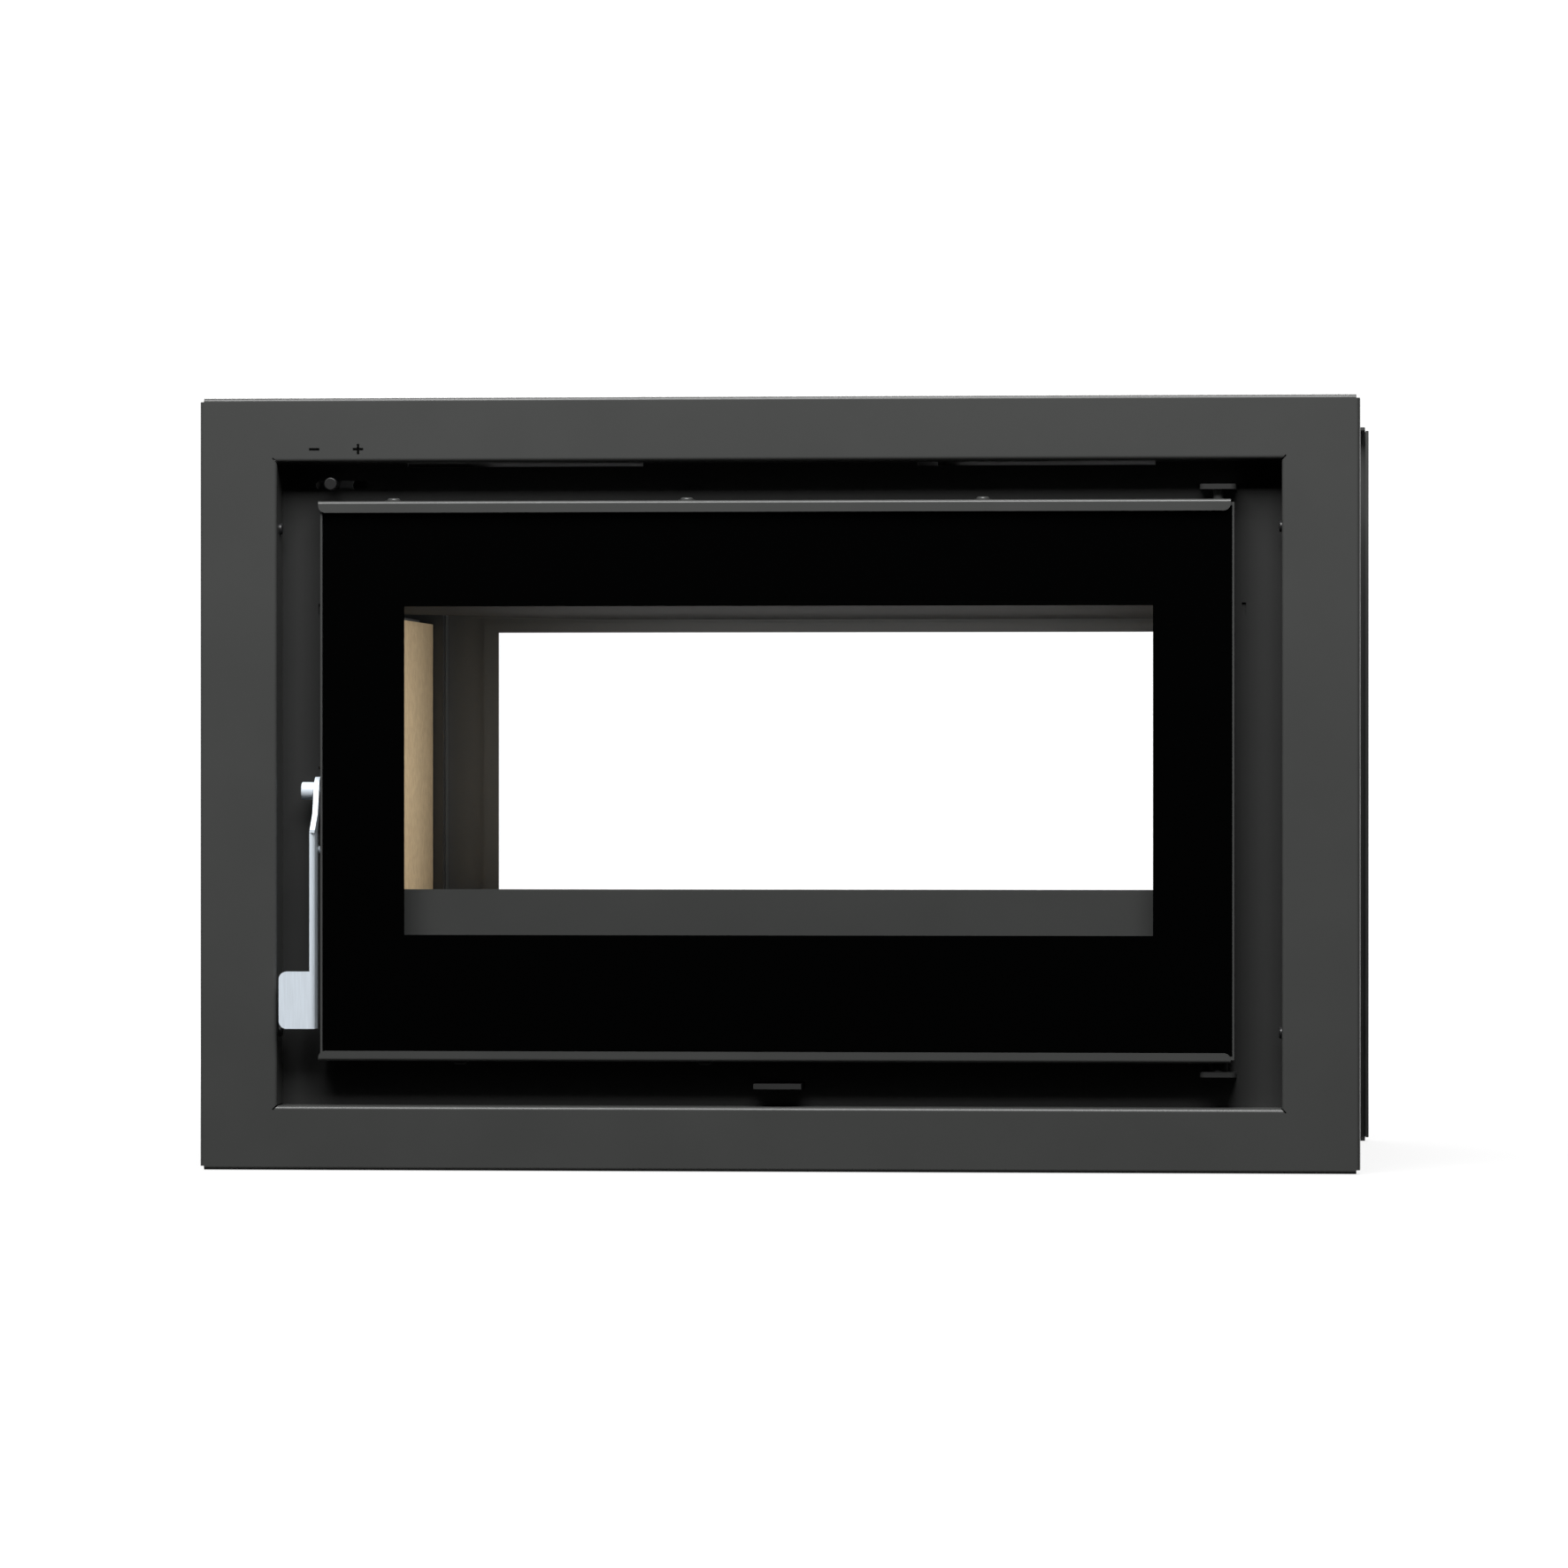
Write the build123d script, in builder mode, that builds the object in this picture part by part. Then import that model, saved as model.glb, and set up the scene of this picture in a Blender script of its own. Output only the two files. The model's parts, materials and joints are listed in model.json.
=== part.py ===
from build123d import *
from math import cos, pi, sin
import os

# A see-through wood-burning fireplace insert: a steel firebox with a glass door and a folded
# trim frame on its front and on its rear. +X is right, +Z is up, and the front faces -Y.
# The origin is on the floor, under the middle. Millimetres throughout.

# ---- Driving dimensions ----
frame_width = 900.0
frame_height = 600.0
total_depth = 610.0  # from the front frame's face to the rear frame's face
opening_width = 780.0
opening_height = 500.0
frame_sheet = 2.5
bend_radius = 3.0
flange_depth = 23.0  # the frame's outer edge, folded back
return_depth = 32.5  # the frame's inner edge, folded back
corner_notch = 3.0
middle_z = frame_height / 2

plate_front = 33.0  # how far the faceplate stands behind the frame's face
plate_sheet = 4.0
plate_back = plate_front + plate_sheet
casing_width = 840.0
casing_low = 30.0
casing_high = 570.0
casing_sheet = 2.0
mouth_width = 663.0  # the opening of the fire
mouth_low = 110.0
mouth_high = 446.0

firebox_width = 680.0  # between the side liners
liner_thick = 25.0
wall_sheet = 4.0
floor_low = 96.0
floor_high = 100.0
brick_high = 124.0
liner_high = 435.0
deflector_low = 438.6
chamber_high = 505.0

door_left = -355.9
door_right = 353.4
door_low = 87.4
door_high = 517.1
door_side_sheet = 1.5
door_sheet = 2.5
band_front = 1.5
band_back = 23.0
glass_thick = 4.0
border_thick = 0.4
web_front = 8.0
web_back = web_front + door_sheet
view_half_width = 290.7  # the clear part of the glass
view_low = 182.8
view_high = 441.2

rail_front = -1.0
rail_back = 22.0
rail_left = -357.3
rail_right = 350.8
rail_lip = 9.0
rail_corner = 5.5
rail_high = door_high + door_sheet
rail_low = door_low - door_sheet

hinge_x = 340.6
hinge_depth = 14.5
pin_radius = 4.0
running_gap = 0.05

handle_depth = 15.0
handle_z = 294.6
lever_left = -363.0
lever_thick = 4.0
lever_right = lever_left + lever_thick
hook_left = -351.0

knob_x = -348.4
knob_z = 533.3
minus_x = -360.5
plus_x = -326.2
mark_z = 560.0

flue_radius = 100.5
duct_radius = 72.5
duct_x = 270.0

os.makedirs("parts", exist_ok=True)


def at(depth):
    """The Y of a point this far behind the front frame's face."""
    return depth - total_depth / 2


def behind(depth):
    """A plane parallel to the front, this far behind it, with X across and Z up."""
    return Plane.XZ.offset(-at(depth))


def panel(x_low, x_high, z_low, z_high, mode=Mode.ADD):
    """A rectangle in the sketch in hand, from its four sides."""
    with Locations(((x_low + x_high) / 2, (z_low + z_high) / 2)):
        Rectangle(x_high - x_low, z_high - z_low, mode=mode)


def block(x_low, x_high, y_low, y_high, z_low, z_high, mode=Mode.ADD):
    """A box in the part in hand, from its six sides."""
    with Locations(((x_low + x_high) / 2, (y_low + y_high) / 2, (z_low + z_high) / 2)):
        Box(x_high - x_low, y_high - y_low, z_high - z_low, mode=mode)


def save(part, name):
    """Labels one finished piece and writes it."""
    part.label = name
    export_step(part, f"parts/{name}.step")


def save_pair(part, name):
    """Writes a piece of the front side, and the same piece turned round for the rear side."""
    save(part, f"front_{name}")
    save(Rot(0, 0, 180) * part, f"rear_{name}")


def both_sides(*places):
    """The given places on the front side, and the same places turned round on the rear side."""
    return [*places, *(Location((0, 0, 0), (0, 0, 180)) * place for place in places)]


def button_screw(head_radius, head_height, shank_radius, shank_length, flange_radius=0.0):
    """A domed screw with a hexagon socket: its head stands on Z = 0 and its shank points down."""
    with BuildPart() as screw:
        with BuildSketch():
            Circle(head_radius)
        extrude(amount=head_height)
        fillet(edges().group_by(Axis.Z)[-1], head_height * 0.6)
        if flange_radius:
            with BuildSketch():
                Circle(flange_radius)
            extrude(amount=head_height * 0.35)
        with BuildSketch(Plane.XY.offset(head_height)):
            RegularPolygon(head_radius * 0.5, 6)
        extrude(amount=-head_height * 0.55, mode=Mode.SUBTRACT)
        with BuildSketch():
            Circle(shank_radius)
        extrude(amount=-shank_length)
    return screw.part


# ---- Trim frame: one folded sheet, screwed through its inner returns ----
trim_screw_depth = 17.0
trim_screw_heights = (498.7, 108.0)
trim_hole_radius = 2.6
mark_length = 8.2
mark_stroke = 2.0
slit_length = 9.0
slit_width = 1.2

with BuildPart() as trim_frame:
    with BuildSketch(behind(0)):
        with Locations((0, middle_z)):
            Rectangle(frame_width, frame_height)
            Rectangle(opening_width, opening_height, mode=Mode.SUBTRACT)
    extrude(amount=-frame_sheet)
    with BuildSketch(behind(0)):
        with Locations((0, middle_z)):
            Rectangle(frame_width, frame_height)
            Rectangle(
                frame_width - 2 * frame_sheet, frame_height - 2 * frame_sheet, mode=Mode.SUBTRACT
            )
    extrude(amount=-flange_depth)
    with BuildSketch(behind(0)):
        with Locations((0, middle_z)):
            Rectangle(opening_width + 2 * frame_sheet, opening_height + 2 * frame_sheet)
            Rectangle(opening_width, opening_height, mode=Mode.SUBTRACT)
    extrude(amount=-return_depth)
    fillet(faces().sort_by(Axis.Y)[0].edges(), bend_radius)
    # Square relief at the outer corners, where two folds meet.
    with BuildSketch(behind(-1)):
        with Locations((0, middle_z)):
            with GridLocations(frame_width - corner_notch, frame_height - corner_notch, 2, 2):
                Rectangle(corner_notch, corner_notch)
    extrude(amount=-flange_depth - 2, mode=Mode.SUBTRACT)
    # A diagonal slit at each corner of the opening.
    with BuildSketch(behind(-1)):
        for side in (-1, 1):
            for end in (-1, 1):
                corner = (side * opening_width / 2, middle_z + end * opening_height / 2)
                with Locations(corner):
                    Rectangle(slit_length, slit_width, rotation=45 * side * end)
    extrude(amount=-return_depth - 2, mode=Mode.SUBTRACT)
    # The air control's "less" and "more" marks, cut through the face.
    with BuildSketch(behind(-1)):
        with Locations((minus_x, mark_z), (plus_x, mark_z)):
            Rectangle(mark_length, mark_stroke)
        with Locations((plus_x, mark_z)):
            Rectangle(mark_stroke, mark_length)
    extrude(amount=-frame_sheet - 2, mode=Mode.SUBTRACT)
    with BuildSketch(Plane.YZ):
        with Locations(*[(at(trim_screw_depth), height) for height in trim_screw_heights]):
            Circle(trim_hole_radius)
    extrude(amount=opening_width / 2 + frame_sheet + 1, both=True, mode=Mode.SUBTRACT)
save_pair(trim_frame.part, "trim_frame")

# ---- Trim brackets: angles that hold the frame's returns to the faceplate ----
bracket_sheet = 3.0
bracket_reach = 20.0
bracket_height = 36.0
bracket_x = opening_width / 2 + frame_sheet

with BuildPart() as trim_bracket:
    block(
        bracket_x, bracket_x + bracket_sheet, at(8), at(plate_front),
        -bracket_height / 2, bracket_height / 2
    )
    block(
        bracket_x, bracket_x + bracket_reach, at(plate_front - bracket_sheet), at(plate_front),
        -bracket_height / 2, bracket_height / 2,
    )
    with BuildSketch(Plane.YZ.offset(bracket_x)):
        with Locations((at(trim_screw_depth), 0)):
            Circle(trim_hole_radius - 0.4)
    extrude(amount=bracket_sheet, mode=Mode.SUBTRACT)

with BuildPart() as trim_brackets:
    for height in trim_screw_heights:
        for turn in (0, 180):
            with Locations(Location((0, 0, height), (0, 0, turn))):
                add(trim_bracket.part)
                add(mirror(trim_bracket.part, about=Plane.YZ, mode=Mode.PRIVATE))
save(trim_brackets.part, "trim_brackets")

trim_screw = button_screw(4.5, 2.6, trim_hole_radius - 0.5, 9)
trim_screw_places = [
    Location((side * opening_width / 2, at(trim_screw_depth), height), (0, -90 * side, 0))
    for side in (-1, 1)
    for height in trim_screw_heights
]
with BuildPart() as trim_screws:
    with Locations(*both_sides(*trim_screw_places)):
        add(trim_screw)
save(trim_screws.part, "trim_screws")

# ---- Faceplate: the wall behind the frame, with the fire's mouth and the air slots ----
slot_near = 107.0
slot_far = 291.6
convection_slots = ((547.0, 562.0), (36.0, 46.0))
knob_travel_low = -12.1
knob_travel_high = 22.2
rod_radius = 3.0
slot_clearance = 0.4
tab_half_width = 18.5
tab_low = 63.8
tab_high = 67.8
latch_slot = (-354.0, -344.0, 256.0, 314.0)
marker_x = 360.0
marker_z = 436.0
marker_width = 3.4
marker_height = 8.8
marker_depth = 1.6
pilot_z = 312.6
pilot_radius = 1.6

with BuildPart() as faceplate:
    with BuildSketch(behind(plate_front)):
        panel(-casing_width / 2, casing_width / 2, casing_low, casing_high)
        panel(-mouth_width / 2, mouth_width / 2, mouth_low, mouth_high, mode=Mode.SUBTRACT)
        for low, high in convection_slots:
            panel(-slot_far, -slot_near, low, high, mode=Mode.SUBTRACT)
            panel(slot_near, slot_far, low, high, mode=Mode.SUBTRACT)
        with Locations((knob_x + (knob_travel_low + knob_travel_high) / 2, knob_z)):
            SlotCenterToCenter(
                knob_travel_high - knob_travel_low, 2 * (rod_radius + slot_clearance), mode=Mode.SUBTRACT
            )
        panel(*latch_slot, mode=Mode.SUBTRACT)
        with Locations((-marker_x, pilot_z)):
            Circle(pilot_radius, mode=Mode.SUBTRACT)
    extrude(amount=-plate_sheet)
    # Shallow pockets that mark where the liners' tops stand.
    with BuildSketch(behind(plate_front)):
        with Locations((-marker_x, marker_z), (marker_x, marker_z)):
            Rectangle(marker_width, marker_height)
    extrude(amount=-marker_depth, mode=Mode.SUBTRACT)
save(Rot(0, 0, 180) * faceplate.part, "rear_faceplate")

with BuildPart() as front_faceplate:
    add(faceplate.part)
    block(
        -tab_half_width - 1, tab_half_width + 1, at(plate_front), at(plate_back), tab_low - 1, tab_high + 1,
        mode=Mode.SUBTRACT,
    )
save(front_faceplate.part, "front_faceplate")

# ---- Casing: the convection jacket round the firebox ----
inside = casing_width / 2 - casing_sheet
lip = 14.0
vent_length = 60.0
vent_height = 8.0

with BuildPart() as side_panel:
    block(inside, casing_width / 2, at(plate_back), -at(plate_back), casing_low, casing_high - casing_sheet)
    for high in (casing_low + casing_sheet, casing_high - casing_sheet):
        block(inside - lip, inside, at(plate_back), -at(plate_back), high - casing_sheet, high)
    with BuildSketch(Plane.YZ.offset(inside)):
        with GridLocations(vent_length + 22, 18, 5, 2):
            with Locations((0, casing_low + 60), (0, casing_high - 70)):
                SlotOverall(vent_length, vent_height)
    extrude(amount=casing_sheet, mode=Mode.SUBTRACT)
save(side_panel.part, "right_casing_panel")
save(Rot(0, 0, 180) * side_panel.part, "left_casing_panel")

with BuildPart() as casing_top:
    with BuildSketch(Plane.XY.offset(casing_high - casing_sheet)):
        Rectangle(casing_width, 2 * -at(plate_back))
        Circle(flue_radius + 8, mode=Mode.SUBTRACT)
        with Locations((-duct_x, 0), (duct_x, 0)):
            Circle(duct_radius + 1, mode=Mode.SUBTRACT)
    extrude(amount=casing_sheet)
save(casing_top.part, "casing_top")

foot_x = 370.0
foot_y = 215.0
stud_radius = 5.0
with BuildPart() as casing_base:
    base_inside = inside - lip
    block(-base_inside, base_inside, at(plate_back), -at(plate_back), casing_low, casing_low + casing_sheet)
    with BuildSketch(Plane.XY.offset(casing_low)):
        with GridLocations(2 * foot_x, 2 * foot_y, 2, 2):
            Circle(stud_radius + 0.3)
    extrude(amount=casing_sheet, mode=Mode.SUBTRACT)
save(casing_base.part, "casing_base")

with BuildPart() as levelling_foot:
    with BuildSketch():
        Circle(20)
    extrude(amount=6)
    fillet(edges().group_by(Axis.Z)[-1], 2)
    with BuildSketch(Plane.XY.offset(6)):
        Circle(stud_radius)
    extrude(amount=54)
    for nut_low in (casing_low - 8, casing_low + casing_sheet):
        with BuildSketch(Plane.XY.offset(nut_low)):
            RegularPolygon(9.8, 6)
        extrude(amount=8)
with BuildPart() as levelling_feet:
    with GridLocations(2 * foot_x, 2 * foot_y, 2, 2):
        add(levelling_foot.part)
save(levelling_feet.part, "levelling_feet")

# ---- Firebox: welded walls, floor with its ash well, and the smoke chamber's roof ----
wall_inside = firebox_width / 2 + liner_thick
ash_hole = (280.0, 180.0)
well_low = 50.0

ledge_width = 14.0  # the deflector rests on a ledge along each wall
ledge_thick = 3.0
ledge_end = 262.0
with BuildPart() as side_wall:
    block(wall_inside, wall_inside + wall_sheet, at(plate_back), -at(plate_back), floor_low, chamber_high)
    block(
        wall_inside - ledge_width, wall_inside, -ledge_end, ledge_end,
        deflector_low - ledge_thick, deflector_low
    )
save(side_wall.part, "firebox_right_wall")
save(Rot(0, 0, 180) * side_wall.part, "firebox_left_wall")

with BuildPart() as firebox_floor:
    block(-wall_inside, wall_inside, at(plate_back), -at(plate_back), floor_low, floor_high)
    with BuildSketch(Plane.XY.offset(floor_low)):
        Rectangle(ash_hole[0] + 2 * casing_sheet, ash_hole[1] + 2 * casing_sheet)
    extrude(amount=well_low - floor_low)
    with BuildSketch(Plane.XY.offset(floor_high)):
        Rectangle(*ash_hole)
    extrude(amount=well_low + casing_sheet - floor_high, mode=Mode.SUBTRACT)
save(firebox_floor.part, "firebox_floor")

collar_bolt_circle = 116.0
collar_bolt_radius = 4.0
collar_bolt_length = 11.0
with BuildPart() as firebox_top:
    with BuildSketch(Plane.XY.offset(chamber_high)):
        Rectangle(2 * (wall_inside + wall_sheet), 2 * -at(plate_back))
        Circle(flue_radius + 1.5, mode=Mode.SUBTRACT)
        with PolarLocations(collar_bolt_circle, 6):
            Circle(collar_bolt_radius + 0.2, mode=Mode.SUBTRACT)
    extrude(amount=wall_sheet)
save(firebox_top.part, "firebox_top")

# ---- Flue collar, with its flange bolted to the roof ----
collar_low = chamber_high + wall_sheet
collar_flange = 6.0
collar_high = 598.0
with BuildPart() as flue_collar:
    with BuildSketch(Plane.XY.offset(collar_low)):
        Circle(flue_radius + 4.5)
    extrude(amount=collar_high - collar_low)
    with BuildSketch(Plane.XY.offset(collar_low)):
        Circle(collar_bolt_circle + 10)
    extrude(amount=collar_flange)
    with BuildSketch(Plane.XY.offset(collar_low)):
        Circle(flue_radius)
    extrude(amount=collar_high - collar_low, mode=Mode.SUBTRACT)
    with BuildSketch(Plane.XY.offset(collar_low)):
        with PolarLocations(collar_bolt_circle, 6):
            Circle(collar_bolt_radius + 0.2)
    extrude(amount=collar_flange, mode=Mode.SUBTRACT)
    fillet(edges().filter_by(GeomType.CIRCLE).group_by(Axis.Z)[-1].sort_by(SortBy.RADIUS)[-1], 1.2)
save(flue_collar.part, "flue_collar")

with BuildPart() as collar_bolt:
    with BuildSketch(Plane.XY.offset(collar_low + collar_flange)):
        RegularPolygon(7.4, 6)
    extrude(amount=5.5)
    with BuildSketch(Plane.XY.offset(collar_low + collar_flange)):
        Circle(collar_bolt_radius)
    extrude(amount=-collar_bolt_length)
with BuildPart() as flue_collar_bolts:
    with PolarLocations(collar_bolt_circle, 6):
        add(collar_bolt.part)
save(flue_collar_bolts.part, "flue_collar_bolts")

with BuildPart() as duct_collar:
    with BuildSketch(Plane.XY.offset(casing_high)):
        Circle(duct_radius + 12)
    extrude(amount=2)
    with BuildSketch(Plane.XY.offset(casing_high)):
        Circle(duct_radius + 2)
    extrude(amount=26)
    with BuildSketch(Plane.XY.offset(casing_high)):
        Circle(duct_radius)
    extrude(amount=26, mode=Mode.SUBTRACT)
with BuildPart() as duct_collars:
    with Locations((-duct_x, 0), (duct_x, 0)):
        add(duct_collar.part)
save(duct_collars.part, "duct_collars")

# ---- Hearth: bricks, side liners, deflector, grate, ash pan, log guards ----
brick_hole = (320.0, 220.0)
brick_gap = 0.5
hearth_end = -at(plate_back) - 3

with BuildPart() as floor_bricks:
    for side in (-1, 1):
        x_near = brick_hole[0] / 2
        x_far = wall_inside - brick_gap
        y_near = brick_hole[1] / 2
        block(*sorted((side * x_near, side * x_far)), -hearth_end, hearth_end, floor_high, brick_high)
        block(
            -x_near + brick_gap, x_near - brick_gap, *sorted((side * y_near, side * hearth_end)),
            floor_high, brick_high,
        )
save(floor_bricks.part, "floor_bricks")

latch_pocket = (55.0, 248.0, 328.0)  # depth behind the faceplate, lower and upper edges
with BuildPart() as side_liner:
    block(firebox_width / 2, wall_inside - brick_gap, -hearth_end, hearth_end, brick_high, liner_high)
    block(
        firebox_width / 2, wall_inside - brick_gap, hearth_end - latch_pocket[0] + plate_back, hearth_end,
        latch_pocket[1], latch_pocket[2], mode=Mode.SUBTRACT,
    )
save(side_liner.part, "right_liner")
save(Rot(0, 0, 180) * side_liner.part, "left_liner")

deflector_half_width = wall_inside - 3
deflector_back = 554.0
deflector_thick = 25.0
cut_corner_x = -200.0
cut_corner_depth = 277.4
with BuildPart() as deflector:
    with BuildSketch(Plane.XY.offset(deflector_low)):
        with BuildLine():
            Polyline(
                (-deflector_half_width, -hearth_end), (deflector_half_width, -hearth_end),
                (deflector_half_width, at(deflector_back)), (cut_corner_x, at(deflector_back)),
                (-deflector_half_width, at(cut_corner_depth)), close=True,
            )
        make_face()
    extrude(amount=deflector_thick)
save(deflector.part, "deflector")

grate_size = (312.0, 212.0)
grate_high = 118.0
with BuildPart() as grate:
    block(
        -grate_size[0] / 2, grate_size[0] / 2, -grate_size[1] / 2, grate_size[1] / 2,
        floor_high, grate_high
    )
    with BuildSketch(Plane.XY.offset(floor_high)):
        Rectangle(ash_hole[0] - 8, ash_hole[1] - 8)
    extrude(amount=8, mode=Mode.SUBTRACT)
    with BuildSketch(Plane.XY.offset(floor_high)):
        with GridLocations(22, 84, 11, 2):
            SlotOverall(74, 11, rotation=90)
    extrude(amount=grate_high - floor_high, mode=Mode.SUBTRACT)
    fillet(faces().sort_by(Axis.Z)[-1].outer_wire().edges(), 2)
save(grate.part, "grate")

pan_size = (268.0, 168.0)
pan_low = well_low + casing_sheet + 0.4
pan_high = 92.0
pan_sheet = 1.5
with BuildPart() as ash_pan:
    block(-pan_size[0] / 2, pan_size[0] / 2, -pan_size[1] / 2, pan_size[1] / 2, pan_low, pan_high)
    block(
        pan_sheet - pan_size[0] / 2, pan_size[0] / 2 - pan_sheet, pan_sheet - pan_size[1] / 2,
        pan_size[1] / 2 - pan_sheet, pan_low + pan_sheet, pan_high, mode=Mode.SUBTRACT,
    )
save(ash_pan.part, "ash_pan")

guard_front = 41.0
guard_sheet = 3.0
guard_high = 217.8
rear_guard_high = 207.0


def make_log_guard(high):
    """A plate that keeps the logs off the glass, with a foot at each end."""
    end = firebox_width / 2 - 3
    with BuildPart() as log_guard:
        with BuildSketch(behind(guard_front)):
            panel(-end, end, brick_high, high)
        extrude(amount=-guard_sheet)
        for side in (-1, 1):
            low_x, high_x = sorted((side * end, side * (end - guard_sheet)))
            block(low_x, high_x, at(guard_front), at(guard_front + 30), brick_high, brick_high + 40)
    return log_guard.part


save(make_log_guard(guard_high), "front_log_guard")
save(Rot(0, 0, 180) * make_log_guard(rear_guard_high), "rear_log_guard")

strip_low = 444.0
strip_high = 475.0
strip_sheet = 2.0
with BuildPart() as air_wash_strips:
    strip_far = at(plate_back + strip_sheet)
    for near, far in ((at(plate_back), strip_far), (-strip_far, -at(plate_back))):
        block(-mouth_width / 2, mouth_width / 2, near, far, strip_low, strip_high)
save(air_wash_strips.part, "air_wash_strips")

# ---- Hinge lugs on the faceplate, and the latch's keeper behind it ----
lug_width = 28.0
lug_front = 4.5
lug_thick = 4.0
lug_lows = (527.3, 74.0)
with BuildPart() as hinge_lug:
    with BuildSketch():
        panel(hinge_x - lug_width / 2, hinge_x + lug_width / 2, at(lug_front), at(plate_front))
        fillet(vertices().group_by(Axis.Y)[0], 4.5)
        with Locations((hinge_x, at(hinge_depth))):
            Circle(pin_radius + running_gap, mode=Mode.SUBTRACT)
    extrude(amount=lug_thick)
lug_places = [Location((0, 0, low)) for low in lug_lows]
with BuildPart() as hinge_lugs:
    with Locations(*both_sides(*lug_places)):
        add(hinge_lug.part)
save(hinge_lugs.part, "hinge_lugs")

keeper_pin_depth = 43.0
keeper_pin_z = 309.0
with BuildPart() as latch_keeper:
    for cheek_left in (-358.0, -343.0):
        block(cheek_left, cheek_left + 3, at(plate_back), at(50), 300, 320)
    with BuildSketch(Plane.YZ.offset(-356)):
        with Locations((at(keeper_pin_depth), keeper_pin_z)):
            Circle(4)
    extrude(amount=14)
with BuildPart() as latch_keepers:
    with Locations(*both_sides(Location())):
        add(latch_keeper.part)
save(latch_keepers.part, "latch_keepers")

# ---- Door: welded frame with a web behind the glass and a channel for the rope seal ----
rope_inset = -1.5
rope_width = 8.0
rope_front = 20.7
rope_back = plate_front - 0.3
channel_wall = 2.0
channel_floor = 18.5
channel_back = 26.0
channel_gap = 0.3
view_bottom_bar = 170.0  # the upper edge of the web's bottom bar
plug_centre = (319.0, 274.0)
plug_radius = 12.7


def mouth_ring(grow_outer, grow_inner):
    """A ring in the sketch in hand that follows the mouth, grown on its outside and inside."""
    centre_z = (mouth_low + mouth_high) / 2
    mouth_height = mouth_high - mouth_low
    with Locations((0, centre_z)):
        Rectangle(mouth_width + 2 * grow_outer, mouth_height + 2 * grow_outer)
        Rectangle(mouth_width + 2 * grow_inner, mouth_height + 2 * grow_inner, mode=Mode.SUBTRACT)


def make_door_frame(view_half, view_top):
    """The door's steel frame, for a view of this half width and top edge through its web."""
    with BuildPart() as door_frame:
        with BuildSketch(behind(band_front)):
            panel(door_left, door_right, door_low, door_high)
            panel(
                door_left + door_side_sheet, door_right - door_side_sheet,
                door_low + door_sheet, door_high - door_sheet, mode=Mode.SUBTRACT,
            )
        extrude(amount=band_front - band_back)
        with BuildSketch(behind(web_front)):
            panel(door_left + 1, door_right - 1, door_low + 1, door_high - 1)
            panel(-view_half, view_half, view_bottom_bar, view_top, mode=Mode.SUBTRACT)
            # Room for the latch's hub.
            panel(hook_left - 2, hook_left + 9, handle_z - 12, handle_z + 12, mode=Mode.SUBTRACT)
        extrude(amount=-door_sheet)
        outer = rope_width - rope_inset + channel_gap
        inner = -rope_inset - channel_gap
        for grow in (outer, inner - channel_wall):
            with BuildSketch(behind(web_back)):
                mouth_ring(grow + channel_wall, grow)
            extrude(amount=web_back - channel_back)
        with BuildSketch(behind(channel_floor)):
            mouth_ring(outer, inner)
        extrude(amount=-channel_wall)
        with BuildSketch(Plane.YZ.offset(door_left)):
            with Locations((at(handle_depth), handle_z)):
                Circle(pin_radius + running_gap)
        extrude(amount=door_side_sheet, mode=Mode.SUBTRACT)
        # Screw holes in the top and bottom bands.
        for places, low in ((top_screws, door_high - door_sheet), (bottom_screws, door_low)):
            with BuildSketch(Plane.XY.offset(low)):
                with Locations(*[(x, at(screw_depth)) for x in places]):
                    Circle(screw_radius + 0.1)
            extrude(amount=door_sheet, mode=Mode.SUBTRACT)
        # The hinge pins are welded to the top and bottom bands, the lower one through a spacer.
        with Locations((hinge_x, at(hinge_depth), door_high)):
            Cylinder(pin_radius, upper_pin_end - door_high, align=(Align.CENTER, Align.CENTER, Align.MIN))
        with Locations((hinge_x, at(hinge_depth), door_low)):
            Cylinder(pin_radius, door_low - lower_pin_end, align=(Align.CENTER, Align.CENTER, Align.MAX))
        with Locations((hinge_x, at(hinge_depth), rail_low)):
            spacer_height = rail_low - lug_lows[1] - lug_thick - 0.3
            Cylinder(spacer_radius, spacer_height, align=(Align.CENTER, Align.CENTER, Align.MAX))
        # A round plug seam on the web's inner face.
        with BuildSketch(behind(web_back)):
            with Locations(plug_centre):
                Circle(plug_radius)
                Circle(plug_radius - 0.8, mode=Mode.SUBTRACT)
            panel(plug_centre[0] + 4, door_right, 0, frame_height, mode=Mode.SUBTRACT)
        extrude(amount=0.5, mode=Mode.SUBTRACT)
    return door_frame.part


upper_pin_end = 531.0
lower_pin_end = 74.4
spacer_radius = 7.5
top_screws = (-300.0, -71.0, 159.0)
bottom_screws = (-248.0, -57.0)
screw_depth = 14.0
screw_radius = 3.0
save(make_door_frame(296.0, 444.0), "front_door_frame")
save(Rot(0, 0, 180) * make_door_frame(290.0, 432.0), "rear_door_frame")

# A narrower inner frame round the rear door's view, on the fire side of the web.
inner_trim_width = 12.8
inner_trim_half = 287.2
inner_trim_top = 428.5
inner_trim_crest = 437.3
inner_trim_bottom = 176.0
with BuildPart() as rear_inner_trim:
    with BuildSketch(behind(web_back)):
        panel(
            -inner_trim_half - inner_trim_width, inner_trim_half + inner_trim_width,
            inner_trim_bottom - inner_trim_width, inner_trim_crest,
        )
        panel(-inner_trim_half, inner_trim_half, inner_trim_bottom, inner_trim_top, mode=Mode.SUBTRACT)
    extrude(amount=-1.5)
save(Rot(0, 0, 180) * rear_inner_trim.part, "rear_inner_trim")

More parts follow.
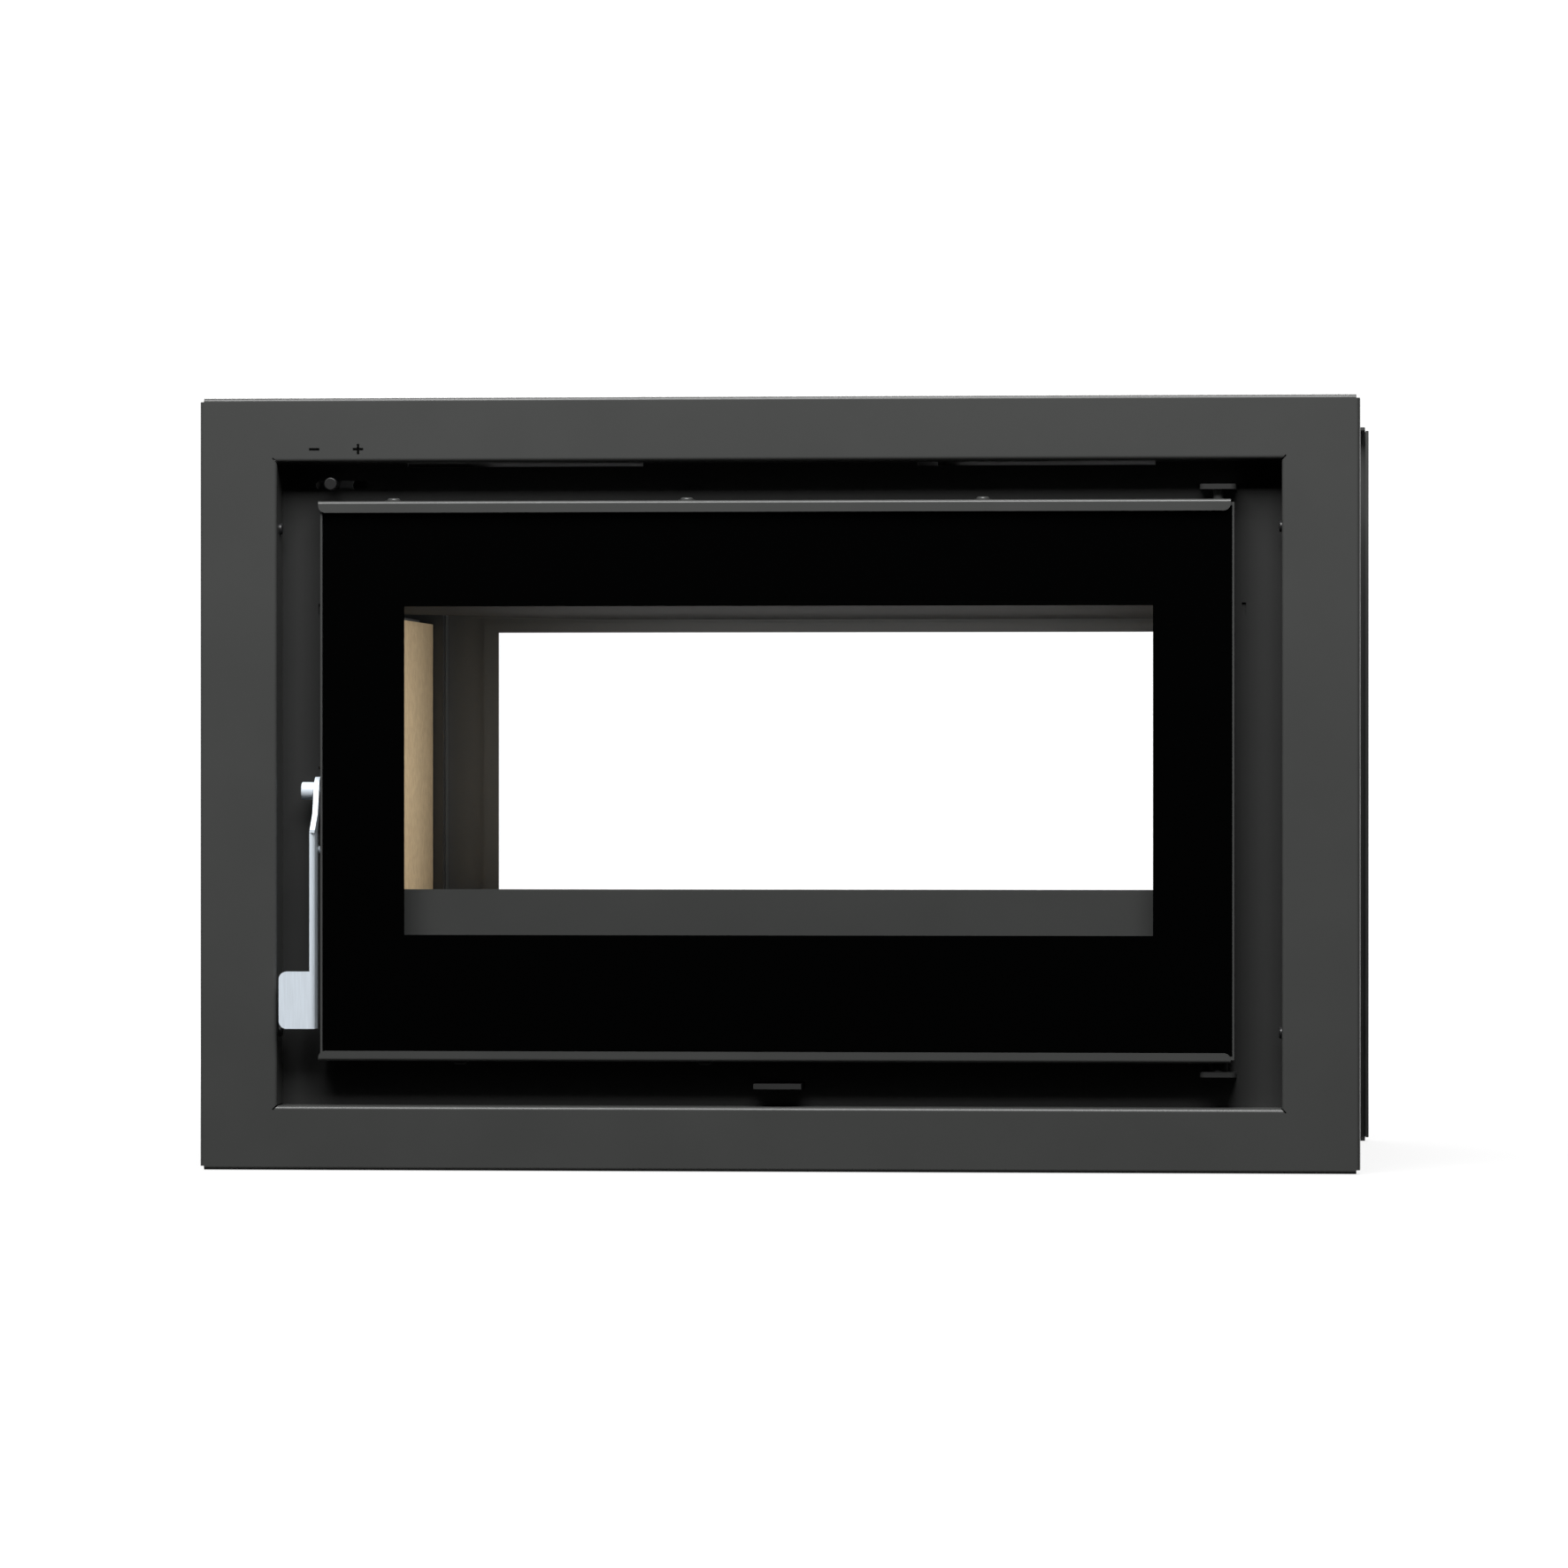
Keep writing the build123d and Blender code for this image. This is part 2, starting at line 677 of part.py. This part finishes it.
with BuildPart() as door_rope:
    with BuildSketch(behind(rope_front)):
        mouth_ring(rope_width - rope_inset, -rope_inset)
    extrude(amount=rope_front - rope_back)
save_pair(door_rope.part, "door_rope")

# ---- Glass, its printed border and its flat gasket ----
glass_gap = 0.3
glass_left = door_left + door_side_sheet + 0.1
glass_right = door_right - door_side_sheet - 0.1
glass_low = door_low + door_sheet + glass_gap
glass_high = door_high - door_sheet - glass_gap
with BuildPart() as glass:
    with BuildSketch(behind(band_front)):
        panel(glass_left, glass_right, glass_low, glass_high)
    extrude(amount=-glass_thick)
save_pair(glass.part, "glass")

border_front = band_front + glass_thick
with BuildPart() as glass_border:
    with BuildSketch(behind(border_front)):
        panel(glass_left, glass_right, glass_low, glass_high)
        panel(-view_half_width, view_half_width, view_low, view_high, mode=Mode.SUBTRACT)
    extrude(amount=-border_thick)
save_pair(glass_border.part, "glass_border")

gasket_front = border_front + border_thick
gasket_half_width = 338.0
gasket_width = 12.0
with BuildPart() as glass_gasket:
    with BuildSketch(behind(gasket_front)):
        panel(-gasket_half_width, gasket_half_width, glass_low + 8, glass_high - 8)
        panel(
            gasket_width - gasket_half_width, gasket_half_width - gasket_width,
            glass_low + 8 + gasket_width, glass_high - 8 - gasket_width, mode=Mode.SUBTRACT,
        )
    extrude(amount=gasket_front - web_front)
save_pair(glass_gasket.part, "glass_gasket")

# ---- Rails: angles that hold the glass along its top and its bottom ----
def make_rail(flange_low, lip_low, lip_high, square_end, screws):
    """An angle with its flange on the door's band and its lip over the glass."""
    with BuildPart() as rail:
        with BuildSketch(behind(rail_front)):
            panel(rail_left, rail_right, lip_low, lip_high)
            fillet(vertices().group_by(Axis.Y)[0 if square_end == "top" else -1], rail_corner)
        extrude(amount=rail_front - band_front)
        block(rail_left, rail_right, at(rail_front), at(rail_back), flange_low, flange_low + door_sheet)
        bend = edges().filter_by(Axis.X).group_by(Axis.Y)[0]
        bend = bend.sort_by(Axis.Z)[-1 if square_end == "top" else 0]
        fillet(bend, door_sheet - 0.1)
        with BuildSketch(Plane.XY.offset(flange_low)):
            with Locations((hinge_x, at(hinge_depth))):
                Circle(pin_radius + 0.7)
            with Locations(*[(x, at(screw_depth)) for x in screws]):
                Circle(screw_radius + 0.1)
        extrude(amount=door_sheet, mode=Mode.SUBTRACT)
    return rail.part


save_pair(make_rail(door_high, rail_high - rail_lip, rail_high, "top", top_screws), "top_rail")
save_pair(make_rail(rail_low, rail_low, rail_low + rail_lip - 1.2, "bottom", bottom_screws), "bottom_rail")

rail_screw = button_screw(5.0, 2.6, screw_radius, 9, flange_radius=6.6)
rail_screw_places = [Location((x, at(screw_depth), rail_high)) for x in top_screws]
rail_screw_places += [Location((x, at(screw_depth), rail_low), (180, 0, 0)) for x in bottom_screws]
with BuildPart() as rail_screws:
    with Locations(*rail_screw_places):
        add(rail_screw)
save_pair(rail_screws.part, "rail_screws")

# ---- Stop pin: the handle hangs against it when the door is shut ----
stop_radius = 3.0
stop_depth = 15.3
stop_z = 248.8
with BuildPart() as stop_pin:
    with BuildSketch(Plane.YZ.offset(door_left)):
        with Locations((at(stop_depth), stop_z)):
            Circle(stop_radius)
    extrude(amount=lever_left + 0.4 - door_left)
    fillet(edges().group_by(Axis.X)[0], 0.4)
save_pair(stop_pin.part, "stop_pin")

# ---- Handle: a stainless lever with a bent tab, its pivot, and the latch hook inside ----
head_radius = 11.0
boss_radius = 6.9
boss_left = -372.2
blade_front = -9.0
blade_back = 12.0
blade_low = 110.0
tab_high_z = 154.4
tab_left = -387.0
tab_corner = 6.0
pivot_end = -344.0
joggle = 1.7  # the lever's head stands this much nearer the door than its blade
joggle_low = 262.0
joggle_high = 277.0
head_left = lever_left + joggle

with BuildSketch(Plane.YZ.offset(lever_left)) as lever_profile:
    with BuildLine():
        Polyline(
            (at(blade_front), blade_low), (at(blade_back), blade_low),
            (at(blade_back), handle_z - 46), (at(handle_depth + 8.8), handle_z - 6.6),
            (at(handle_depth - 10.0), handle_z + 4.6), (at(blade_front), handle_z - 30), close=True,
        )
    make_face()
    with Locations((at(handle_depth), handle_z)):
        Circle(head_radius)
        Circle(pin_radius, mode=Mode.SUBTRACT)

with BuildPart() as lever_head:
    extrude(lever_profile.sketch, amount=lever_thick + joggle)
    with BuildSketch(behind(blade_front - 1)):
        with BuildLine():
            Polyline(
                (lever_left, joggle_low), (head_left, joggle_high), (head_left, handle_z + 2 * head_radius),
                (head_left + lever_thick, handle_z + 2 * head_radius), (head_left + lever_thick, joggle_high),
                (lever_right, joggle_low), close=True,
            )
        make_face()
    extrude(amount=-60, mode=Mode.INTERSECT)

with BuildPart() as handle_lever:
    extrude(lever_profile.sketch, amount=lever_thick)
    with BuildSketch(behind(blade_front)):
        panel(tab_left, lever_right, blade_low, tab_high_z)
        fillet(vertices().group_by(Axis.X)[0], tab_corner)
    extrude(amount=-lever_thick)
    outer_bend = edges().filter_by(Axis.Z).group_by(Axis.Y)[0].sort_by(Axis.X)[-1]
    fillet(outer_bend, lever_thick + 1)
    block(
        tab_left, lever_right + 1, at(blade_front - 1), at(50),
        joggle_low, handle_z + 50, mode=Mode.SUBTRACT
    )
    add(lever_head.part)
save_pair(handle_lever.part, "handle_lever")

with BuildPart() as handle_pivot:
    with BuildSketch(Plane.YZ.offset(boss_left)):
        with Locations((at(handle_depth), handle_z)):
            Circle(boss_radius)
    extrude(amount=head_left - boss_left)
    fillet(edges().group_by(Axis.X)[0], 1.0)
    with BuildSketch(Plane.YZ.offset(head_left)):
        with Locations((at(handle_depth), handle_z)):
            Circle(pin_radius)
    extrude(amount=pivot_end - head_left)
save_pair(handle_pivot.part, "handle_pivot")

hook_radius = 6.6
hook_half_height = 4.5
hook_tip = 53.0
with BuildPart() as latch_hook:
    with BuildSketch(Plane.YZ.offset(hook_left)):
        panel(at(handle_depth), at(hook_tip), handle_z - hook_half_height, handle_z + hook_half_height)
        panel(at(hook_tip - 5), at(hook_tip), handle_z, handle_z + 9.4)
        with Locations((at(handle_depth), handle_z)):
            Circle(hook_radius)
            Circle(pin_radius, mode=Mode.SUBTRACT)
    extrude(amount=lever_thick)
save_pair(latch_hook.part, "latch_hook")

# ---- Secondary air slider: knob, rod and slide plate behind the faceplate ----
knob_radius = 4.8
knob_front = 4.0
knob_length = 8.0
slide_front = plate_back + 0.3
slide_sheet = 2.0
slide_half_length = 40.0
slide_half_height = 12.0
slide_gap = 0.4
with BuildPart() as air_knob:
    with BuildSketch(behind(knob_front)):
        with Locations((knob_x, knob_z)):
            Circle(knob_radius)
    extrude(amount=-knob_length)
    fillet(edges().group_by(Axis.Y)[0], 0.8)
save_pair(air_knob.part, "air_knob")

with BuildPart() as air_slider:
    with BuildSketch(behind(knob_front + knob_length)):
        with Locations((knob_x, knob_z)):
            Circle(rod_radius)
    extrude(amount=knob_front + knob_length - slide_front)
    with BuildSketch(behind(slide_front)):
        with Locations((knob_x, knob_z)):
            Rectangle(2 * slide_half_length, 2 * slide_half_height)
            with Locations((-24, 0), (24, 0)):
                SlotOverall(22, 10, mode=Mode.SUBTRACT)
    extrude(amount=-slide_sheet)
save_pair(air_slider.part, "air_slider")

# ---- Primary air: a pull tab under the door, with its guides ----
tab_front = 3.0
tab_bulge = 2.2
damper_near = 70.0
damper_far = 130.0
damper_half_width = 60.0
with BuildPart() as primary_air_tab:
    with BuildSketch(Plane.XY.offset(tab_low)):
        with BuildLine():
            Line((-tab_half_width, at(tab_front + tab_bulge)), (-tab_half_width, at(damper_near)))
            Line((-tab_half_width, at(damper_near)), (tab_half_width, at(damper_near)))
            Line((tab_half_width, at(damper_near)), (tab_half_width, at(tab_front + tab_bulge)))
            ThreePointArc(
                (tab_half_width, at(tab_front + tab_bulge)), (0, at(tab_front)),
                (-tab_half_width, at(tab_front + tab_bulge)),
            )
        make_face()
        panel(-damper_half_width, damper_half_width, at(damper_near), at(damper_far))
    extrude(amount=tab_high - tab_low)
save(primary_air_tab.part, "primary_air_tab")

guide_sheet = 3.0
with BuildPart() as air_guides:
    guide_left = knob_x + knob_travel_low - slide_half_length
    guide_right = -294.0
    for turn in (0, 180):
        with Locations(Location((0, 0, 0), (0, 0, turn))):
            with BuildSketch(behind(plate_back)):
                for low in (knob_z + slide_half_height + slide_gap,
                            knob_z - slide_half_height - slide_gap - guide_sheet):
                    panel(guide_left, guide_right, low, low + guide_sheet)
            extrude(amount=-5)
    for side in (-1, 1):
        near = side * (damper_half_width + slide_gap)
        near_x, far_x = sorted((near, near + side * guide_sheet))
        block(near_x, far_x, at(plate_back), at(150), casing_low + casing_sheet, 72)
        block(
            *sorted((near, near - side * 8)), at(plate_back + 2), at(150), tab_low - guide_sheet - slide_gap,
            tab_low - slide_gap,
        )
save(air_guides.part, "air_guides")
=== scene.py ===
import json
import math

import bpy
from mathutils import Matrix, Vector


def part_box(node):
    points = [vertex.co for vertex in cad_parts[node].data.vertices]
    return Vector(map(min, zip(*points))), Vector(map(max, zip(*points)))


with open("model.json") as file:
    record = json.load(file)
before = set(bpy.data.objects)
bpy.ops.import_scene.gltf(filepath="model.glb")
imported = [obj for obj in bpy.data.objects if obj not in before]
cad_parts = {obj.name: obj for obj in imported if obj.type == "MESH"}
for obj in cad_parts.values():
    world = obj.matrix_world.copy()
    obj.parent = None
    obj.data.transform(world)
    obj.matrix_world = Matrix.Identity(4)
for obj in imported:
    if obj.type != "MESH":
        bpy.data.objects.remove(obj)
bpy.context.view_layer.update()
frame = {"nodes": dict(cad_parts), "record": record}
scene = bpy.context.scene
nodes = frame["nodes"]

# ---- Camera: standing right of the insert's middle, level, turned a little to the left ----
CAMERA_PLACE = (0.525, -6.542, 0.300)
CAMERA_TURN = math.radians(4.759)
LENS_MM = 185.87
SENSOR_MM = 36.0

camera_data = bpy.data.cameras.new("camera")
camera_data.lens = LENS_MM
camera_data.sensor_width = SENSOR_MM
camera_data.clip_end = 60.0
camera = bpy.data.objects.new("camera", camera_data)
camera.location = CAMERA_PLACE
camera.rotation_euler = (math.radians(90), 0, CAMERA_TURN)
scene.collection.objects.link(camera)
scene.camera = camera

scene.view_settings.view_transform = "Standard"
scene.view_settings.look = "None"


# ---- Materials ----
def new_material(name):
    """An empty node material, with its shader: (material, node tree, Principled shader)."""
    material = bpy.data.materials.new(name)
    material.use_nodes = True
    tree = material.node_tree
    return material, tree, tree.nodes["Principled BSDF"]


def noise_node(tree, scale, detail=3.0, stretch=(1.0, 1.0, 1.0)):
    """A noise texture in the object's own coordinates, in metres, stretched along the axes."""
    place = tree.nodes.new("ShaderNodeTexCoord")
    mapping = tree.nodes.new("ShaderNodeMapping")
    mapping.inputs["Scale"].default_value = stretch
    texture = tree.nodes.new("ShaderNodeTexNoise")
    texture.inputs["Scale"].default_value = scale
    texture.inputs["Detail"].default_value = detail
    tree.links.new(place.outputs["Object"], mapping.inputs["Vector"])
    tree.links.new(mapping.outputs["Vector"], texture.inputs["Vector"])
    return texture


def add_bump(tree, shader, texture, strength, distance):
    """Roughens the shader's normal with a texture."""
    bump = tree.nodes.new("ShaderNodeBump")
    bump.inputs["Strength"].default_value = strength
    bump.inputs["Distance"].default_value = distance
    tree.links.new(texture.outputs["Fac"], bump.inputs["Height"])
    tree.links.new(bump.outputs["Normal"], shader.inputs["Normal"])


def add_tone(tree, shader, texture, dark, light):
    """Varies the shader's colour between two tones with a texture."""
    ramp = tree.nodes.new("ShaderNodeValToRGB")
    ramp.color_ramp.elements[0].position = 0.35
    ramp.color_ramp.elements[0].color = (*dark, 1.0)
    ramp.color_ramp.elements[1].position = 0.65
    ramp.color_ramp.elements[1].color = (*light, 1.0)
    tree.links.new(texture.outputs["Fac"], ramp.inputs["Fac"])
    tree.links.new(ramp.outputs["Color"], shader.inputs["Base Color"])


def scaled(color, factor):
    """The same colour, lighter or darker."""
    return tuple(channel * factor for channel in color)


def paint(name, color, roughness=0.36, grain=900.0, bump=0.12, spread=0.03, specular=0.5):
    """Matt stove paint: an even tone with a fine sprayed grain."""
    material, tree, shader = new_material(name)
    shader.inputs["Roughness"].default_value = roughness
    shader.inputs["Specular IOR Level"].default_value = specular
    add_tone(tree, shader, noise_node(tree, 14.0), scaled(color, 1 - spread), scaled(color, 1 + spread))
    add_bump(tree, shader, noise_node(tree, grain), bump, 0.0002)
    return material


def metal(name, color, roughness, stretch=(1.0, 1.0, 1.0), scale=60.0, spread=0.04, bump=0.03, metallic=1.0):
    """Bare or plated metal, brushed along the short side of its stretch. A light colour with little metallic
    paints in the bright reflection that real metal would mirror.
    """
    material, tree, shader = new_material(name)
    shader.inputs["Metallic"].default_value = metallic
    shader.inputs["Roughness"].default_value = roughness
    tone = noise_node(tree, scale, 2.0, stretch)
    add_tone(tree, shader, tone, scaled(color, 1 - spread), scaled(color, 1 + spread))
    add_bump(tree, shader, noise_node(tree, scale * 4, 2.0, stretch), bump, 0.0001)
    return material


def mineral(name, color, spread, grain, bump, roughness=0.9, specular=0.2):
    """Pressed board, brick or fibre: a mottled tone with a grainy surface."""
    material, tree, shader = new_material(name)
    shader.inputs["Roughness"].default_value = roughness
    shader.inputs["Specular IOR Level"].default_value = specular
    add_tone(tree, shader, noise_node(tree, grain, 6.0), scaled(color, 1 - spread), scaled(color, 1 + spread))
    add_bump(tree, shader, noise_node(tree, grain * 2, 4.0), bump, 0.0006)
    return material


def clear_glass(name):
    """Clear ceramic glass: nearly all of the light passes straight through."""
    material, tree, shader = new_material(name)
    shader.inputs["Base Color"].default_value = (0.01, 0.012, 0.012, 1.0)
    shader.inputs["Roughness"].default_value = 0.02
    shader.inputs["Alpha"].default_value = 0.04
    return material


def enamel(name):
    """Black enamel printed on the glass."""
    material, tree, shader = new_material(name)
    shader.inputs["Base Color"].default_value = (0.0006, 0.0006, 0.0006, 1.0)
    shader.inputs["Roughness"].default_value = 0.35
    shader.inputs["Specular IOR Level"].default_value = 0.0
    return material


materials = {
    "trim_paint": paint("trim_paint", (0.059, 0.0605, 0.0590)),
    # Plate paint is about half the trim's tone: the shade of the recess the plate sits in is painted into its
    # colour.
    "plate_paint": paint("plate_paint", (0.031, 0.0315, 0.031)),
    "door_paint": paint("door_paint", (0.060, 0.0615, 0.0600)),
    "knob_paint": paint("knob_paint", (0.018, 0.018, 0.018)),
    "guard_paint": paint("guard_paint", (0.060, 0.0615, 0.0600)),
    "firebox_paint": paint("firebox_paint", (0.040, 0.040, 0.040), roughness=0.7),
    "grate_iron": paint("grate_iron", (0.030, 0.030, 0.031), roughness=0.65, grain=500.0, bump=0.4),
    "black_zinc": paint("black_zinc", (0.020, 0.020, 0.021), roughness=0.35),
    "clear_glass": clear_glass("clear_glass"),
    "black_enamel": enamel("black_enamel"),
    "rope_fibre": mineral("rope_fibre", (0.020, 0.020, 0.020), 0.4, 500.0, 0.8),
    "gasket_fibre": mineral("gasket_fibre", (0.030, 0.030, 0.030), 0.3, 600.0, 0.6),
    # Stainless: light grey steel, but mostly non-metallic and near white, so its colour paints in the bright
    # studio reflection that the steel would mirror.
    "stainless": metal("stainless", (0.80, 0.88, 0.96), 0.4, (1.0, 1.0, 0.05), 900.0, metallic=0.1),
    "zinc_steel": metal("zinc_steel", (0.40, 0.41, 0.42), 0.42),
    "galvanised": metal("galvanised", (0.27, 0.275, 0.28), 0.5, scale=70.0, spread=0.06, metallic=0.3),
    "vermiculite": mineral("vermiculite", (0.400, 0.305, 0.185), 0.10, 160.0, 0.5),
    "vermiculite_grey": mineral("vermiculite_grey", (0.026, 0.026, 0.026), 0.12, 160.0, 0.4, specular=0.03),
    "fire_brick": mineral("fire_brick", (0.360, 0.290, 0.190), 0.14, 120.0, 0.6),
}

for part in frame["record"]["subparts"]:
    obj = nodes[part["node"]]
    slot = part["material_slot"]
    obj.data.materials.clear()
    obj.data.materials.append(materials[slot])


# ---- Floor, light and background ----
FLOOR_SIZE = 60.0
FLOOR_DROP = 0.0005
MIDDLE_Z = 0.3

floor_mesh = bpy.data.meshes.new("floor")
half = FLOOR_SIZE / 2
low = -FLOOR_DROP
floor_mesh.from_pydata(
    [(-half, -half, low), (half, -half, low), (half, half, low), (-half, half, low)], [], [(0, 1, 2, 3)]
)
floor = bpy.data.objects.new("floor", floor_mesh)
scene.collection.objects.link(floor)
floor.visible_diffuse = False
floor.visible_glossy = False


def floor_material():
    """A pale floor with its own glow, dimmer near the insert and stronger away from it, so that it meets the
    background without a line.
    """
    material, tree, shader = new_material("floor")
    shader.inputs["Base Color"].default_value = (0.14, 0.14, 0.14, 1.0)
    shader.inputs["Roughness"].default_value = 1.0
    shader.inputs["Specular IOR Level"].default_value = 0.0
    shader.inputs["Emission Color"].default_value = (1.0, 1.0, 1.0, 1.0)
    place = tree.nodes.new("ShaderNodeTexCoord")
    length = tree.nodes.new("ShaderNodeVectorMath")
    length.operation = "LENGTH"
    fade = tree.nodes.new("ShaderNodeMapRange")
    fade.inputs["From Min"].default_value = 0.5
    fade.inputs["From Max"].default_value = 2.4
    fade.inputs["To Min"].default_value = 0.84
    fade.inputs["To Max"].default_value = 1.2
    fade.interpolation_type = "SMOOTHSTEP"
    tree.links.new(place.outputs["Object"], length.inputs[0])
    tree.links.new(length.outputs["Value"], fade.inputs["Value"])
    tree.links.new(fade.outputs["Result"], shader.inputs["Emission Strength"])
    return material


floor_mesh.materials.append(floor_material())


def softbox(name, azimuth, elevation, distance, width, height, watts):
    """A soft light that looks at the insert's middle. Azimuth 0 is in front and 90 is on the right."""
    light = bpy.data.lights.new(name, "AREA")
    light.shape = "RECTANGLE"
    light.size = width
    light.size_y = height
    light.energy = watts
    obj = bpy.data.objects.new(name, light)
    flat = distance * math.cos(math.radians(elevation))
    x = flat * math.sin(math.radians(azimuth))
    y = -flat * math.cos(math.radians(azimuth))
    obj.location = (x, y, MIDDLE_Z + distance * math.sin(math.radians(elevation)))
    obj.rotation_euler = (math.radians(90 - elevation), 0, math.radians(azimuth))
    obj.visible_camera = False
    scene.collection.objects.link(obj)


CHAMBER_SPREAD_DEG = 55
CHAMBER_LIGHT_HEIGHT = 0.16
LIGHT_ABOVE_GUARD = 0.1
LIGHT_BEHIND_GUARD = 0.01
LIGHT_FROM_LINER = 0.04


def chamber_light(name, place, turn, width, watts):
    """A small soft light inside the fire chamber. Turn 0 shines towards the rear, 90 to the left."""
    light = bpy.data.lights.new(name, "AREA")
    light.shape = "RECTANGLE"
    light.size = width
    light.size_y = CHAMBER_LIGHT_HEIGHT
    light.spread = math.radians(CHAMBER_SPREAD_DEG)
    light.energy = watts
    obj = bpy.data.objects.new(name, light)
    obj.location = place
    obj.rotation_euler = (math.radians(90), 0, math.radians(turn))
    obj.visible_camera = False
    scene.collection.objects.link(obj)


softbox("key", 0, 50, 4.0, 2.9, 2.2, 250)
softbox("rear", 180, 50, 4.0, 2.9, 2.2, 150)
softbox("left", -90, 35, 4.0, 2.4, 2.2, 70)
guard_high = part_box("front_log_guard")[1]
liner_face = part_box("right_liner")[0][0]
light_z = guard_high[2] + LIGHT_ABOVE_GUARD
light_y = guard_high[1] + LIGHT_BEHIND_GUARD
light_x = liner_face - LIGHT_FROM_LINER
chamber_light("chamber_to_rear", (0, light_y, light_z), 0, 0.5, 0.15)
chamber_light("chamber_to_front", (0, -light_y, light_z), 180, 0.5, 0.15)
chamber_light("chamber_to_left", (light_x, 0, light_z), 90, 0.4, 0.6)
chamber_light("chamber_to_right", (-light_x, 0, light_z), -90, 0.4, 0.6)


def studio_world():
    """A white background that hardly lights the insert. What mirrors it is brighter towards the rear."""
    world = bpy.data.worlds.new("studio")
    world.use_nodes = True
    tree = world.node_tree
    fill = tree.nodes["Background"]
    fill.inputs["Color"].default_value = (1.0, 1.0, 1.0, 1.0)
    fill.inputs["Strength"].default_value = 0.004
    seen = tree.nodes.new("ShaderNodeBackground")
    seen.inputs["Color"].default_value = (1.0, 1.0, 1.0, 1.0)
    seen.inputs["Strength"].default_value = 1.2
    mirrored = tree.nodes.new("ShaderNodeBackground")
    mirrored.inputs["Color"].default_value = (1.0, 1.0, 1.0, 1.0)
    direction = tree.nodes.new("ShaderNodeTexCoord")
    parts = tree.nodes.new("ShaderNodeSeparateXYZ")
    back = tree.nodes.new("ShaderNodeMapRange")
    back.inputs["From Min"].default_value = 0.2
    back.inputs["From Max"].default_value = 0.7
    back.inputs["To Min"].default_value = 0.0
    back.inputs["To Max"].default_value = 1.0
    tree.links.new(direction.outputs["Generated"], parts.inputs["Vector"])
    tree.links.new(parts.outputs["Y"], back.inputs["Value"])
    tree.links.new(back.outputs["Result"], mirrored.inputs["Strength"])
    path = tree.nodes.new("ShaderNodeLightPath")
    gloss = tree.nodes.new("ShaderNodeMixShader")
    mix = tree.nodes.new("ShaderNodeMixShader")
    tree.links.new(path.outputs["Is Glossy Ray"], gloss.inputs["Fac"])
    tree.links.new(fill.outputs["Background"], gloss.inputs[1])
    tree.links.new(mirrored.outputs["Background"], gloss.inputs[2])
    tree.links.new(path.outputs["Is Camera Ray"], mix.inputs["Fac"])
    tree.links.new(gloss.outputs["Shader"], mix.inputs[1])
    tree.links.new(seen.outputs["Background"], mix.inputs[2])
    tree.links.new(mix.outputs["Shader"], tree.nodes["World Output"].inputs["Surface"])
    return world


scene.world = studio_world()
